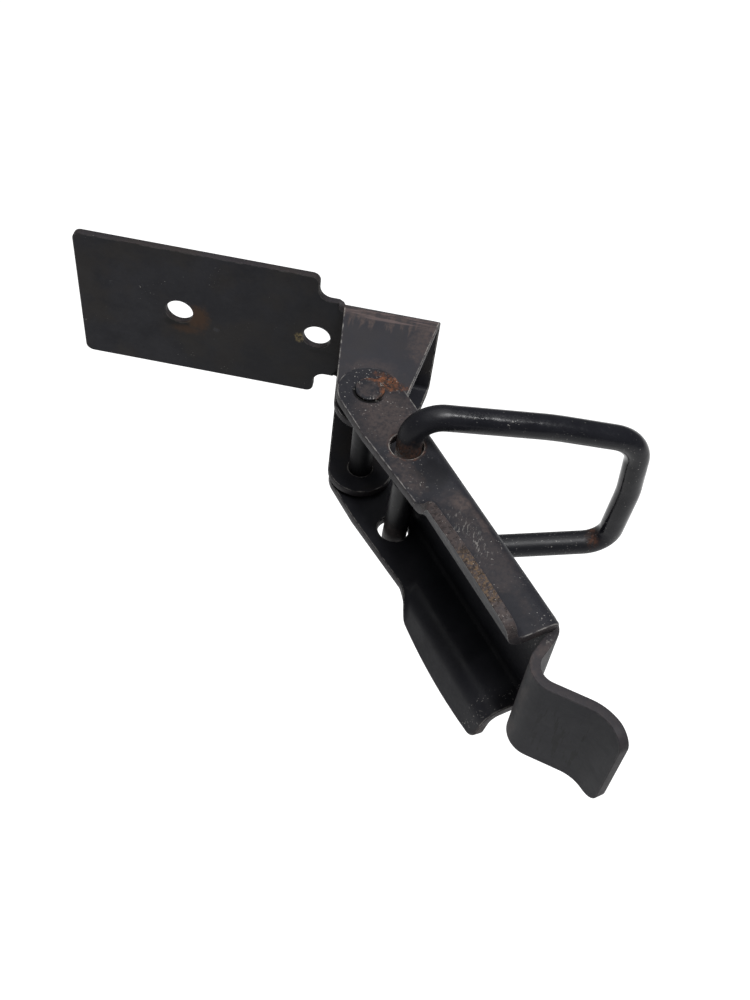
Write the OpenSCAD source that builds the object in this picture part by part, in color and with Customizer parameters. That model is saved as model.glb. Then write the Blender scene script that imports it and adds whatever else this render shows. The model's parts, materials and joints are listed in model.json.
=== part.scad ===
// Toggle latch: a stamped base with two ears, a folded channel lever on a pivot rivet,
// and a bent wire bail that hooks over a catch and is drawn tight by the lever.
// Millimetres. The origin is midway between the screw holes on the mounting face.
// +X is the draw direction, +Z runs up along the pivot rivet, -Y is away from the panel.

/* [Base plate] */
// Length of the screw plate, from its free end to the shoulder
plate_len = 52.8; // [50:0.1:56]
// Width of the screw plate
plate_w = 33.8; // [30:0.1:40]
// Distance between the two screw holes
hole_gap = 30.5; // [28:0.5:32]
// Distance from the free end to the first screw hole
hole_inset = 22.4; // [18:0.1:24]
// Diameter of the screw holes
hole_d = 6; // [4:0.1:7]
// Thickness of the base sheet
base_t = 1.5; // [1:0.1:2]
// Radius of the plate's corners
plate_corner_r = 1.7; // [0.5:0.1:3]

/* [Ears] */
// Width over the outside of the two ears
ears_w = 21.8; // [20:0.1:22.4]
// Start of the ears along the base, measured from the origin
ear_start = 20.8; // [20:0.1:22]
// End of the ears and of the base, measured from the origin
ear_end = 41.2; // [40:0.1:43]
// Radius of the rounded end of each ear
ear_tip_r = 6.7; // [6:0.1:7]
// Outside radius of the folds between base and ears
ear_fold_r = 2.4; // [2:0.1:3]

/* [Pivot] */
// Pivot's distance along the base from the origin
pivot_x = 30.4; // [30:0.1:31]
// Pivot's height above the mounting face
pivot_h = 27.4; // [26:0.1:30]
// Diameter of the rivet's shank
rivet_d = 4.8; // [4:0.1:5.2]
// Diameter of the rivet's two flat heads
rivet_head_d = 5.8; // [5.4:0.1:7]
// Thickness of each rivet head
rivet_head_t = 0.9; // [0.5:0.1:1.5]

/* [Lever] */
// Angle of the lever above the base line, where it is drawn
lever_angle = 52.9; // [40:0.1:80]
// Width over the outside of the lever's flanges
lever_w = 27.6; // [27:0.1:29]
// Thickness of the lever sheet
lever_t = 1.9; // [1.5:0.1:2]
// Distance from the pivot to the outside of the lever's web
web_offset = 6.5; // [6.4:0.1:7]
// Start of the web, measured from the pivot along the lever
web_start = 9.4; // [9:0.1:11]
// Length of the flanges, measured from the pivot
flange_len = 60.6; // [58:0.1:62]
// Radius of the flanges' round ends about the pivot
flange_end_r = 6.4; // [6:0.1:6.4]
// Outside radius of the folds between web and flanges
lever_fold_r = 3; // [2.4:0.1:3.5]

/* [Lips] */
// Start of the outward lips, measured from the pivot
lip_start = 28.6; // [27:0.1:32]
// Angle through which each lip is folded out
lip_angle = 75; // [60:1:85]
// Inside radius of the lip's fold
lip_fold_r = 2.2; // [1:0.1:2.5]
// How far the lips stand out from the flanges at their widest
lip_rise = 6.5; // [4:0.1:7]

/* [Thumb tab] */
// Width of the thumb tab
tab_w = 23; // [18:0.1:23.8]
// Radius of the tab's rounded corners
tab_corner_r = 3.6; // [1:0.1:5]

/* [Bail] */
// Diameter of the bail wire
wire_d = 5; // [4:0.1:5.2]
// Distance from the pivot to the bail's holes along the lever
bail_hole_u = 15.4; // [15:0.1:17]
// Diameter of the bail's holes in the flanges
bail_hole_d = 6.4; // [6.2:0.1:7]
// Angle at which the bail runs back towards the panel, where it is drawn
bail_angle = 14.3; // [5:0.1:20]
// Reach of the bail from its holes to the middle of its end bar
bail_reach = 46.4; // [44:0.1:50]
// Bend radius of the wire's centre line
bail_bend_r = 5.5; // [4:0.1:6]

/* [Hidden] */
$fn = 64;

cut = 1;                                     // how far a cutter passes beyond the metal
plate_end = hole_gap / 2 + hole_inset;       // free end of the plate, to the left of the origin
shoulder_x = plate_len - plate_end;          // where the plate narrows
neck_fillet_r = 2.6;                         // inside corner between shoulder and neck
pivot_clear = 0.05;                          // radial play of the lever on the rivet
rivet_edge = 0.25;                           // bevel round the rivet heads
flange_in = lever_w / 2 - lever_t;           // half the inside width of the lever
lap = 0.2;                                   // overlap where one stretch of metal runs into the next
edge_at_lip = 5;                             // height of the plain free edge where the lips begin
lip_fold_y = -1.2;                           // where the lips' folds begin, across the lever
lip_relief = 0.4;                            // slit between plain edge and lip
lip_arch_u = 48.5;                           // where along the lever the lips are widest
lip_arch_r = 80;                             // radius of the lips' arched free edge
lip_start_r = 3.4;                           // rounded corners at the lips' two ends
lip_end_r = 2.4;
lip_spare = 12;                              // length folded for a lip before it is cut to its outline
through = 52;                                // depth of a cut that passes right through the lever
tab_end = 83.5;                              // end of the thumb tab, measured from the pivot

// Corners of the tab's centre line in the lever's side view, from inside the web, and its bend radii
tab_corners = [
    [57, web_offset - lever_t / 2], [60.4, web_offset - lever_t / 2],
    [65.6, -4.5], [77.3, 4.6], [tab_end, 4.6]
];
tab_bend_r = [0, 3, 4.2, 9, 0];

// Corners of the bail's centre line as [reach, height]: the upper arm and the end bar bow out a
// little, and the wire's two ends meet inside the lever
bail_corners = [
    [0.4, 5], [0.4, 22.3], [27, 19.1],
    [bail_reach - 1.4, 15.2], [bail_reach, 0], [bail_reach - 0.7, -16.8],
    [0.2, -20], [0.9, 4]
];

// Points of an arc about c, from angle a0 to a1
function arc(c, r, a0, a1, n = 8) =
    [for (i = [0:n]) let (a = a0 + (a1 - a0) * i / n) c + r * [cos(a), sin(a)]];

function unit(v) = v / norm(v);
function turned(v, a) = [v[0] * cos(a) - v[1] * sin(a), v[0] * sin(a) + v[1] * cos(a)];

// Angle between point p and the spot where a line from p touches the circle of radius r about 0
function tangent_angle(p, r) = acos(r / norm(p));

// Carries a drawing in Y and Z along X
module along_x(x0, x1)
    translate([x0, 0, 0]) rotate([90, 0, 90]) linear_extrude(x1 - x0) children();

// Carries a drawing in X and Z away from the panel, from y0 over a depth d
module along_y(y0, d)
    translate([0, -y0, 0]) rotate([90, 0, 0]) linear_extrude(d) children();

// One face of a folded sheet, off to the left of its centre line: p are the line's corners and
// r the bend radius at each; every bend is an arc
function sheet_face(p, r, off) = [
    for (i = [0:len(p) - 1])
        let (d1 = i > 0 ? unit(p[i] - p[i - 1]) : unit(p[1] - p[0]),
             d2 = i < len(p) - 1 ? unit(p[i + 1] - p[i]) : d1,
             a = atan2(d1[0] * d2[1] - d1[1] * d2[0], d1 * d2),
             s = a < 0 ? -1 : 1,
             n = [-d1[1], d1[0]],
             c = p[i] - d1 * r[i] * tan(abs(a) / 2) + n * s * r[i],
             steps = a == 0 ? 0 : ceil(abs(a) / 9))
            if (steps == 0) p[i] + n * off
            else each [for (k = [0:steps])
                c - s * (r[i] - s * off) * turned(n, a * k / steps)]
];

// A whole folded sheet seen on edge
module sheet(p, r, t)
    polygon(concat(sheet_face(p, r, t / 2),
                   let (back = sheet_face(p, r, -t / 2)) [for (i = [len(back) - 1:-1:0]) back[i]]));

// A folded channel: web against x = 0, legs towards -x; end is where the upper leg ends, as a list
// of corners from its tip, which the lower leg mirrors
module channel(w, t, fold_r, tip, tip_r) {
    h = (w - t) / 2;
    upper = concat(tip, [[-t / 2, h]]);
    lower = [for (i = [len(upper) - 1:-1:0]) [upper[i][0], -upper[i][1]]];
    r = concat(tip_r, [fold_r - t / 2]);
    sheet(concat(upper, lower), concat(r, [for (i = [len(r) - 1:-1:0]) r[i]]), t);
}

// Flat outline of the screw plate and its neck, right of the free end
module plate_outline() {
    r = plate_corner_r;
    hw = plate_w / 2;
    neck = ears_w / 2;
    f = neck_fillet_r;
    upper = concat(
        arc([-plate_end + r, hw - r], r, 180, 90),
        arc([shoulder_x - r, hw - r], r, 90, 0),
        arc([shoulder_x + f, neck + f], f, 180, 270),
        [[ear_start + lap, neck], [ear_start + lap, neck - 2 * ear_fold_r],
         [ear_end - lap, neck - 2 * ear_fold_r]]
    );
    lower = [for (i = [len(upper) - 1:-1:0]) [upper[i][0], -upper[i][1]]];
    polygon(concat(upper, lower));
}

// Side outline of an ear: leaning edges that run tangent into the round end
module ear_outline() {
    p = [pivot_x, -pivot_h];
    left = [ear_start, 0] - p;
    right = [ear_end, 0] - p;
    a_left = atan2(left[1], left[0]) + tangent_angle(left, ear_tip_r);
    a_right = atan2(right[1], right[0]) - tangent_angle(right, ear_tip_r);
    translate(p) polygon(concat([left], arc([0, 0], ear_tip_r, a_left, a_right + 360, 16), [right]));
}

module base_plate() {
    color([0.10, 0.10, 0.11])
    difference() {
        union() {
            along_y(0, base_t) plate_outline();
            intersection() {
                along_x(ear_start - cut, ear_end)
                    channel(ears_w, base_t, ear_fold_r,
                            [[-pivot_h - ear_tip_r - cut, (ears_w - base_t) / 2]], [0]);
                translate([0, 0, -ears_w]) linear_extrude(2 * ears_w) ear_outline();
            }
        }
        for (x = [-1, 1] * hole_gap / 2)
            translate([x, cut, 0]) rotate([90, 0, 0]) cylinder(d = hole_d, h = base_t + 2 * cut);
        translate([pivot_x, -pivot_h, -ears_w]) cylinder(d = rivet_d, h = 2 * ears_w);
    }
}

module pivot_rivet() {
    seat = lever_w / 2 + pivot_clear;
    color([0.13, 0.13, 0.14])
    translate([pivot_x, -pivot_h, 0]) {
        translate([0, 0, -seat]) cylinder(d = rivet_d, h = 2 * seat);
        for (side = [0, 1])
            mirror([0, 0, side]) translate([0, 0, seat]) {
                cylinder(d = rivet_head_d, h = rivet_head_t - rivet_edge);
                translate([0, 0, rivet_head_t - rivet_edge])
                    cylinder(d1 = rivet_head_d, d2 = rivet_head_d - 2 * rivet_edge, h = rivet_edge);
            }
    }
}

// Places the lever's own frame: X along the lever from the pivot, +Y towards its web
module at_lever()
    translate([pivot_x, -pivot_h, 0]) rotate([0, 0, -lever_angle]) children();

// Plan of the part of the lever that has lips, seen square to its web: the lips' free edge is an
// arch, rounded off at both ends
module lip_plan() {
    arch_c = [lip_arch_u, lever_w / 2 + lip_rise - lip_arch_r];
    function arch(u) = arch_c[1] + sqrt(pow(lip_arch_r, 2) - pow(u - arch_c[0], 2));
    a = lip_start_r;
    b = lip_end_r;
    upper = concat(
        arc([lip_start + a, arch(lip_start + a) - a], a, 180, 90),
        [for (k = [1:5]) let (u = lip_start + a + (flange_len - b - lip_start - a) * k / 6) [u, arch(u)]],
        arc([flange_len - b, arch(flange_len - b) - b], b, 90, 0)
    );
    polygon(concat(upper, [for (i = [len(upper) - 1:-1:0]) [upper[i][0], -upper[i][1]]]));
}

// The lever's channel from x0 to x1, with legs that end at the given corners
module folded_channel(x0, x1, tip, tip_r)
    along_x(x0, x1) translate([web_offset, 0]) channel(lever_w, lever_t, lever_fold_r, tip, tip_r);

// The channel where its edges are folded out into lips
module lipped_channel() {
    mid_r = lip_fold_r + lever_t / 2;
    mid_z = (lever_w - lever_t) / 2;
    fold_y = lip_fold_y - web_offset - mid_r * tan(lip_angle / 2);
    intersection() {
        folded_channel(lip_start, flange_len,
            [[fold_y - lip_spare * cos(lip_angle), mid_z + lip_spare * sin(lip_angle)], [fold_y, mid_z]],
            [0, mid_r]);
        along_lever_normal() lip_plan();
    }
}

// Carries a plan of the lever through it, square to its web
module along_lever_normal()
    translate([0, through / 2, 0]) rotate([90, 0, 0]) linear_extrude(through) children();

// The S-shaped thumb tab with rounded corners
module tab() {
    hw = tab_w / 2;
    r = tab_corner_r;
    intersection() {
        translate([0, 0, -hw]) linear_extrude(tab_w) sheet(tab_corners, tab_bend_r, lever_t);
        along_lever_normal() polygon(concat(
            [[tab_corners[0][0] - cut, hw]],
            arc([tab_end - r, hw - r], r, 90, 0),
            arc([tab_end - r, r - hw], r, 0, -90),
            [[tab_corners[0][0] - cut, -hw]]
        ));
    }
}

module lever() {
    color([0.12, 0.12, 0.13])
    at_lever() difference() {
        union() {
            for (side = [0, 1])
                mirror([0, 0, side]) translate([0, 0, flange_in]) linear_extrude(lever_t) {
                    circle(flange_end_r);
                    translate([0, -flange_end_r]) square([web_start + lap, 2 * flange_end_r]);
                }
            intersection() {
                folded_channel(web_start, lip_start - lip_relief,
                               [[-through / 2, (lever_w - lever_t) / 2]], [0]);
                translate([0, 0, -lever_w]) linear_extrude(2 * lever_w) polygon([
                    [web_start, -flange_end_r], [lip_start, -edge_at_lip],
                    [lip_start, web_offset], [web_start, web_offset]
                ]);
            }
            folded_channel(lip_start - lip_relief - lap, lip_start + lap,
                           [[lip_fold_y - web_offset, (lever_w - lever_t) / 2]], [0]);
            lipped_channel();
            tab();
        }
        translate([0, 0, -lever_w]) cylinder(r = rivet_d / 2 + pivot_clear, h = 2 * lever_w);
        translate([bail_hole_u, 0, -lever_w]) cylinder(d = bail_hole_d, h = 2 * lever_w);
    }
}

// A hair-thin band round the wire that ties a straight and a bend into one piece of metal
module seam()
    translate([-lap / 2, 0, 0]) rotate([0, 90, 0]) cylinder(d = wire_d + 0.02, h = lap);

// The wire from corner i of its path onwards: a straight, a bend to the right, and the rest
module wire_from(i, p, bend) {
    r = bail_bend_r;
    last = len(p) - 2;
    back = [for (a = bend) r * tan(a / 2)];
    straight = norm(p[i + 1] - p[i]) - back[i] - back[i + 1];
    a = bend[i + 1];
    rotate([0, 90, 0]) cylinder(d = wire_d, h = straight);
    if (i > 0) seam();
    if (i < last) translate([straight, 0, 0]) seam();
    if (i < last)
        translate([straight, -r, 0]) {
            rotate([0, 0, 90 - a]) rotate_extrude(angle = a) translate([r, 0]) circle(d = wire_d);
            translate([r * sin(a), r * cos(a), 0]) rotate([0, 0, -a]) wire_from(i + 1, p, bend);
        }
}

module bail() {
    p = bail_corners;
    n = len(p);
    dir = [for (i = [0:n - 2]) (p[i + 1] - p[i]) / norm(p[i + 1] - p[i])];
    bend = [for (i = [0:n - 1]) i == 0 || i == n - 1 ? 0 : acos(dir[i - 1] * dir[i])];
    color([0.08, 0.08, 0.09])
    at_lever() translate([bail_hole_u, 0, 0]) rotate([0, 0, lever_angle + bail_angle])
        rotate([90, 0, 0]) translate(p[0]) rotate([0, 0, atan2(dir[0][1], dir[0][0])])
            wire_from(0, p, bend);
}

base_plate();
pivot_rivet();
lever();
bail();
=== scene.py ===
"""Toggle latch: visual pieces, finishes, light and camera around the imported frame.

Lengths are worked out in millimetres and put into the meshes in metres. A stamping is a flat
blank with coordinates (u, w) that one mapping folds into place; wire and rivet are profiles
carried along a path or round an axis.
"""

import json
import math

import bmesh
import bpy
import numpy as np
from mathutils import Matrix, Vector
from mathutils.geometry import delaunay_2d_cdt


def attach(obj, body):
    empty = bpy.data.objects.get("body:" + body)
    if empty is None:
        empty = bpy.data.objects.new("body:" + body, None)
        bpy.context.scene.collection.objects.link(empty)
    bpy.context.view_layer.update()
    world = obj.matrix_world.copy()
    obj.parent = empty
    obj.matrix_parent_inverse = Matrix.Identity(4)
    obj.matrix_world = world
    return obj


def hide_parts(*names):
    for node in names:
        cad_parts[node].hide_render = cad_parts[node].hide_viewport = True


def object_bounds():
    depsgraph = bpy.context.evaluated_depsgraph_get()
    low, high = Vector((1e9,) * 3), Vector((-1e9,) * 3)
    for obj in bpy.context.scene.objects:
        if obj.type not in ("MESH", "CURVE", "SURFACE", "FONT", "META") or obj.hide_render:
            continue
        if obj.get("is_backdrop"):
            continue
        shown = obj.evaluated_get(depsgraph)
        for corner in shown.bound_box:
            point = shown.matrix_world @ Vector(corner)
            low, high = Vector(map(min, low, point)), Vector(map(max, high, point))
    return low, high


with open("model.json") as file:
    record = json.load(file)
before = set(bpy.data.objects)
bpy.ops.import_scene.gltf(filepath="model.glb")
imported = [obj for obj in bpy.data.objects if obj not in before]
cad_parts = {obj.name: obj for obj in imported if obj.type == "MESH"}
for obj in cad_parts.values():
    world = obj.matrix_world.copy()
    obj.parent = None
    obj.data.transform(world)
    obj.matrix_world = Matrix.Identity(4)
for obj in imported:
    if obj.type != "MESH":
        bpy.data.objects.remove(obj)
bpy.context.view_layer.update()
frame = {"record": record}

MM = 0.001
RIGHT_ANGLE = math.pi / 2

record = frame["record"]
joints = {j["name"]: j for j in record["behaviour"]["joints"]}
mounts = {m["name"]: m for m in record["mounts"]}
PIVOT = np.array(joints["lever_swing"]["pos_m"]) / MM
EYE = np.array(joints["bail_swing"]["pos_m"]) / MM          # axis of the bail's two flange holes
CATCH_BAR = np.array(mounts["catch_bar"]["pos_m"]) / MM

# Base: one sheet with two ears folded out of it
BASE_T = 1.5
PLATE_LEFT = -37.65
SHOULDER = 15.15
PLATE_HALF = 16.9
PLATE_CORNER_R = 1.7
NECK_FILLET_R = 2.6
SCREW_X = mounts["screw_holes"]["dims"]["spacing_x_mm"] / 2
SCREW_R = mounts["screw_holes"]["dims"]["hole_r_mm"]
EARS_HALF = 10.9
EAR_FOLD_R = 2.4
EAR_LEFT, EAR_RIGHT = 20.8, 41.2
EAR_TIP_R = 6.7
SHANK_R = 2.4
EAR_HOLE_R = SHANK_R + 0.05
EAR_ROOT = 1.2             # an ear's far edge begins to lean this far past the start of its fold
EAR_CORNER_R = 0.5

# Lever: one sheet folded into a channel, its edges flared into lips, its end drawn into a tab
LEVER_T = 1.9
LEVER_HALF = 13.8
WEB_OFFSET = 6.5
WEB_START = 9.4
LEVER_FOLD_R = 3.0
FLANGE_LEN = 60.6
FLANGE_R = 6.4
EDGE_AT_LIP = 5.0
LIP_START = 28.6
LIP_GROWTH = 4.6           # over this length the lip's fold opens
LIP_DEEPER = 0.7           # by which the lip's edge then lies deeper than the plain edge
LIP_Y = 1.2                # where the lip's fold begins, on the open side of the pivot line
LIP_ANGLE = math.radians(75)
LIP_FOLD_R = 2.2
LIP_RISE = 6.5
LIP_WIDEST = 48.5
LIP_ARCH_R = 80.0
LIP_LEAD = 0.8             # the fold begins to open this far short of the lip's start
LIP_END_R = 2.4
EYE_R = 3.2
PIVOT_HOLE_R = SHANK_R + 0.06
TAB_START = 57.0
TAB_END = 83.5
TAB_HALF = 11.5
TAB_CORNER_R = 3.6
TAB_SLIT = 0.55            # width of the slit between tab and channel
TAB_ROOT = 1.9             # where the slit ends, past the tab's start
# the tab's bends: corner of the centre line along and across the lever, and bend radius
TAB_CORNERS = [(60.4, 5.55, 3.0), (65.6, -4.5, 4.2), (77.3, 4.6, 9.0)]

WIRE_R = 2.5
WIRE_BEND_R = 5.5
BAIL_REACH = float(np.hypot(*(CATCH_BAR - EYE)[:2]))
# corners of the wire's centre line as reach from the eye's axis and height, and the bend radius at each
BAIL_CORNERS = [(0.4, 5.0, 0), (0.4, 22.3, WIRE_BEND_R), (27.0, 19.1, 60), (BAIL_REACH - 1.4, 15.2, 7.5),
                (BAIL_REACH, 0.0, 30), (BAIL_REACH - 0.7, -16.8, WIRE_BEND_R), (0.2, -20.0, WIRE_BEND_R),
                (0.9, 4.0, 0)]

BEVEL = 0.14               # rounding of sheared edges
RING_GAP = 0.16            # from the rounding to the ring of points inside it
RING_CLEARANCE = 0.1       # least distance of that ring's points from the rounding
GRID_CLEARANCE = 0.62      # least distance of all other points from a sheared edge
SLOPE_STEP = 0.03          # half the step over which a fold's slope is taken
FOLD_FADE = 1.3            # length over which a fold fades out into flat sheet
WELD = 2e-6                # points closer than this become one, in metres


# ---------------------------------------------------------------- curves and outlines

def smooth(x, lo, hi):
    """Runs from 0 at lo to 1 at hi along 3t^2 - 2t^3."""
    t = np.clip((x - lo) / (hi - lo), 0, 1)
    return t * t * (3 - 2 * t)


def arc(cx, cy, r, a0, a1, step=0.3):
    """Points at centre + r (cos a, sin a), with a from a0 to a1 in degrees, about step apart."""
    n = max(3, int(abs(math.radians(a1 - a0)) * r / step) + 1)
    a = np.radians(np.linspace(a0, a1, n))
    return np.column_stack([cx + r * np.cos(a), cy + r * np.sin(a)])


def densify(points, step=0.45):
    """Closed outline through the points, with extra points so that no edge is longer than step."""
    p = np.asarray(points)
    q = np.roll(p, -1, axis=0)
    parts = [a + (b - a) * np.arange(n)[:, None] / n
             for a, b in zip(p, q)
             for n in [max(1, math.ceil(np.linalg.norm(b - a) / step))] if np.linalg.norm(b - a) > 1e-6]
    return np.vstack(parts)


def mirrored(upper):
    """Closed anticlockwise outline from its upper half, listed from right to left, and its mirror image."""
    lower = upper[::-1] * [1, -1]
    return np.vstack([upper, lower])


def inward(loop):
    """Unit normals to the left of a loop's direction, stretched at corners so that offsets stay parallel."""
    d = np.roll(loop, -1, axis=0) - loop
    d /= np.linalg.norm(d, axis=1)[:, None]
    n = np.column_stack([-d[:, 1], d[:, 0]])
    m = n + np.roll(n, 1, axis=0)
    m /= np.maximum(np.linalg.norm(m, axis=1)[:, None], 1e-6)
    return m / np.maximum((m * n).sum(1)[:, None], 0.6)


def inside(points, loops):
    """True where a point lies inside an odd number of loops, by counting crossings."""
    x, y = points[:, :1], points[:, 1:]
    odd = np.zeros(len(points), bool)
    for loop in loops:
        a, b = loop, np.roll(loop, -1, axis=0)
        straddles = (a[:, 1] > y) != (b[:, 1] > y)
        rise = np.where(b[:, 1] == a[:, 1], 1e-12, b[:, 1] - a[:, 1])
        hits = straddles & (x < (b[:, 0] - a[:, 0]) * (y - a[:, 1]) / rise + a[:, 0])
        odd ^= (hits.sum(1) % 2).astype(bool)
    return odd


def path_from_corners(corners, step):
    """A planar line with each corner (x, y, r) rounded to its radius r, as points about step apart."""
    p = np.asarray(corners, float)[:, :2]
    out = [p[:1]]
    for i in range(1, len(p) - 1):
        a, b = p[i] - p[i - 1], p[i + 1] - p[i]
        a /= np.linalg.norm(a)
        b /= np.linalg.norm(b)
        turn = math.atan2(a[0] * b[1] - a[1] * b[0], a @ b)
        r = corners[i][2]
        side = np.array([-a[1], a[0]]) * math.copysign(1, turn)
        centre = p[i] - a * r * math.tan(abs(turn) / 2) + side * r
        start = math.degrees(math.atan2(*(-side)[::-1]))
        out.append(arc(*centre, r, start, start + math.degrees(turn), step))
    out.append(p[-1:])
    line = np.vstack(out)
    length = np.r_[0, np.cumsum(np.linalg.norm(np.diff(line, axis=0), axis=1))]
    s = np.linspace(0, length[-1], int(length[-1] / step) + 1)
    return np.column_stack([np.interp(s, length, line[:, k]) for k in (0, 1)])


# ---------------------------------------------------------------- meshes

def mesh_object(name, points, faces, rim=None):
    """Object of one mesh from points in metres and faces, welded, with normals outwards."""
    mesh = bpy.data.meshes.new(name)
    mesh.from_pydata(points.tolist(), [], faces)
    if rim is not None:
        layer = mesh.attributes.new("rim", "FLOAT", "POINT")
        layer.data.foreach_set("value", np.ascontiguousarray(rim, dtype=np.float32))
    work = bmesh.new()
    work.from_mesh(mesh)
    bmesh.ops.remove_doubles(work, verts=work.verts, dist=WELD)
    bmesh.ops.recalc_face_normals(work, faces=work.faces)
    work.to_mesh(mesh)
    work.free()
    mesh.polygons.foreach_set("use_smooth", np.ones(len(mesh.polygons), bool))
    obj = bpy.data.objects.new(name, mesh)
    bpy.context.scene.collection.objects.link(obj)
    return obj


def grid_faces(rows, cols, first, wrap_cols):
    """Quads of a grid of rows by cols points, numbered from first, closed round the columns if asked."""
    r = np.arange(rows - 1)[:, None]
    c = np.arange(cols if wrap_cols else cols - 1)[None, :]
    d = (c + 1) % cols
    quads = np.stack([r * cols + c, r * cols + d, (r + 1) * cols + d, (r + 1) * cols + c], -1)
    return (quads.reshape(-1, 4) + first).tolist()


def stamping(name, loops, fold, thickness, columns, rows):
    """Folded sheet with rounded sheared edges.

    The blank is filled with a triangulation of its outline, moved in by the edge rounding, and of
    the crossings of the given columns and rows. fold(u, w) gives the middle surface; its two partial
    slopes give the normal, and both faces lie half the thickness off it. The edge is a strip whose
    profile is two quarter circles joined by a straight. Attribute rim is the distance from the
    sheared edge in millimetres.
    """
    normals = [inward(loop) for loop in loops]
    # the triangulation works in single precision, so the outline does too: otherwise slivers that
    # lie just outside its straight stretches count as metal
    inset = [(loop + n * BEVEL).astype(np.float32).astype(float) for loop, n in zip(loops, normals)]
    ring = np.vstack([loop + n * (BEVEL + RING_GAP) for loop, n in zip(loops, normals)])
    grid = np.stack(np.meshgrid(columns, rows), -1).reshape(-1, 2)
    grid = grid[inside(grid, loops)]
    rim_points = np.vstack(loops)

    def edge_distance(q):
        return np.concatenate([
            np.sqrt(((part[:, None, :] - rim_points[None, :, :]) ** 2).sum(2)).min(1)
            for part in np.array_split(q, max(1, len(q) // 400))])

    grid = grid[edge_distance(grid) > GRID_CLEARANCE]
    ring = ring[edge_distance(ring) > BEVEL + RING_CLEARANCE]
    flat = np.vstack(inset + [ring, grid])
    edges, at = [], 0
    for loop in inset:
        n = len(loop)
        edges += [(at + i, at + (i + 1) % n) for i in range(n)]
        at += n
    verts, _, tris, _, _, _ = delaunay_2d_cdt([Vector(p) for p in flat.tolist()], edges, [], 0, 1e-6)
    flat = np.array([v[:] for v in verts])
    tris = np.array(tris)
    tris = tris[inside(flat[tris].mean(1), inset)]

    def place(q, height):
        u, w = q[:, 0], q[:, 1]
        along = fold(u + SLOPE_STEP, w) - fold(u - SLOPE_STEP, w)
        across = fold(u, w + SLOPE_STEP) - fold(u, w - SLOPE_STEP)
        n = np.cross(along, across)
        n /= np.linalg.norm(n, axis=1)[:, None]
        return fold(u, w) + n * height

    half = thickness / 2
    points = [place(flat, half), place(flat, -half)]
    rim = [edge_distance(flat)] * 2
    faces = tris.tolist() + (tris[:, ::-1] + len(flat)).tolist()
    # the edge's profile: depth in from the sheared wall, and height over the middle surface
    a = np.radians([90, 67, 45, 22, 0])
    depth = np.r_[BEVEL * (1 - np.cos(a)), 0, BEVEL * (1 - np.cos(a[::-1]))]
    height = np.r_[half - BEVEL * (1 - np.sin(a)), 0, -(half - BEVEL * (1 - np.sin(a[::-1])))]
    first = 2 * len(flat)
    for loop, n in zip(loops, normals):
        for d, h in zip(depth, height):
            points.append(place(loop + n * d, h))
            rim.append(np.full(len(loop), d))
        faces += grid_faces(len(depth), len(loop), first, True)
        first += len(depth) * len(loop)
    return mesh_object(name, np.vstack(points) * MM, faces, np.concatenate(rim))


def capped_grid(name, rings):
    """Closed surface through rings of points, the first and last of them closed on their own centres."""
    rows, cols, _ = rings.shape
    points = np.vstack([rings.reshape(-1, 3), rings[0].mean(0), rings[-1].mean(0)])
    faces = grid_faces(rows, cols, 0, True)
    k = np.arange(cols)
    a, b = rows * cols, rows * cols + 1
    faces += [[a, int((i + 1) % cols), int(i)] for i in k]
    faces += [[b, int((rows - 1) * cols + i), int((rows - 1) * cols + (i + 1) % cols)] for i in k]
    return mesh_object(name, points * MM, faces)


# ---------------------------------------------------------------- base plate

def fold_base(x, w):
    """Flat for |w| up to the fold, then a quarter circle, then straight out along the ear. Left of
    the ears the fold fades out, so the neck stays flat."""
    r = EAR_FOLD_R - BASE_T / 2
    flat_half = EARS_HALF - EAR_FOLD_R
    a = np.abs(w)
    t = np.clip((a - flat_half) / r, 0, RIGHT_ANGLE)
    z = np.minimum(a, flat_half) + r * np.sin(t)
    out = r * (1 - np.cos(t)) + np.maximum(a - flat_half - r * RIGHT_ANGLE, 0)
    g = smooth(x, EAR_LEFT - FOLD_FADE, EAR_LEFT)
    z = a + (z - a) * g
    return np.column_stack([x, -(BASE_T / 2 + out * g), np.sign(w) * z])


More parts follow.
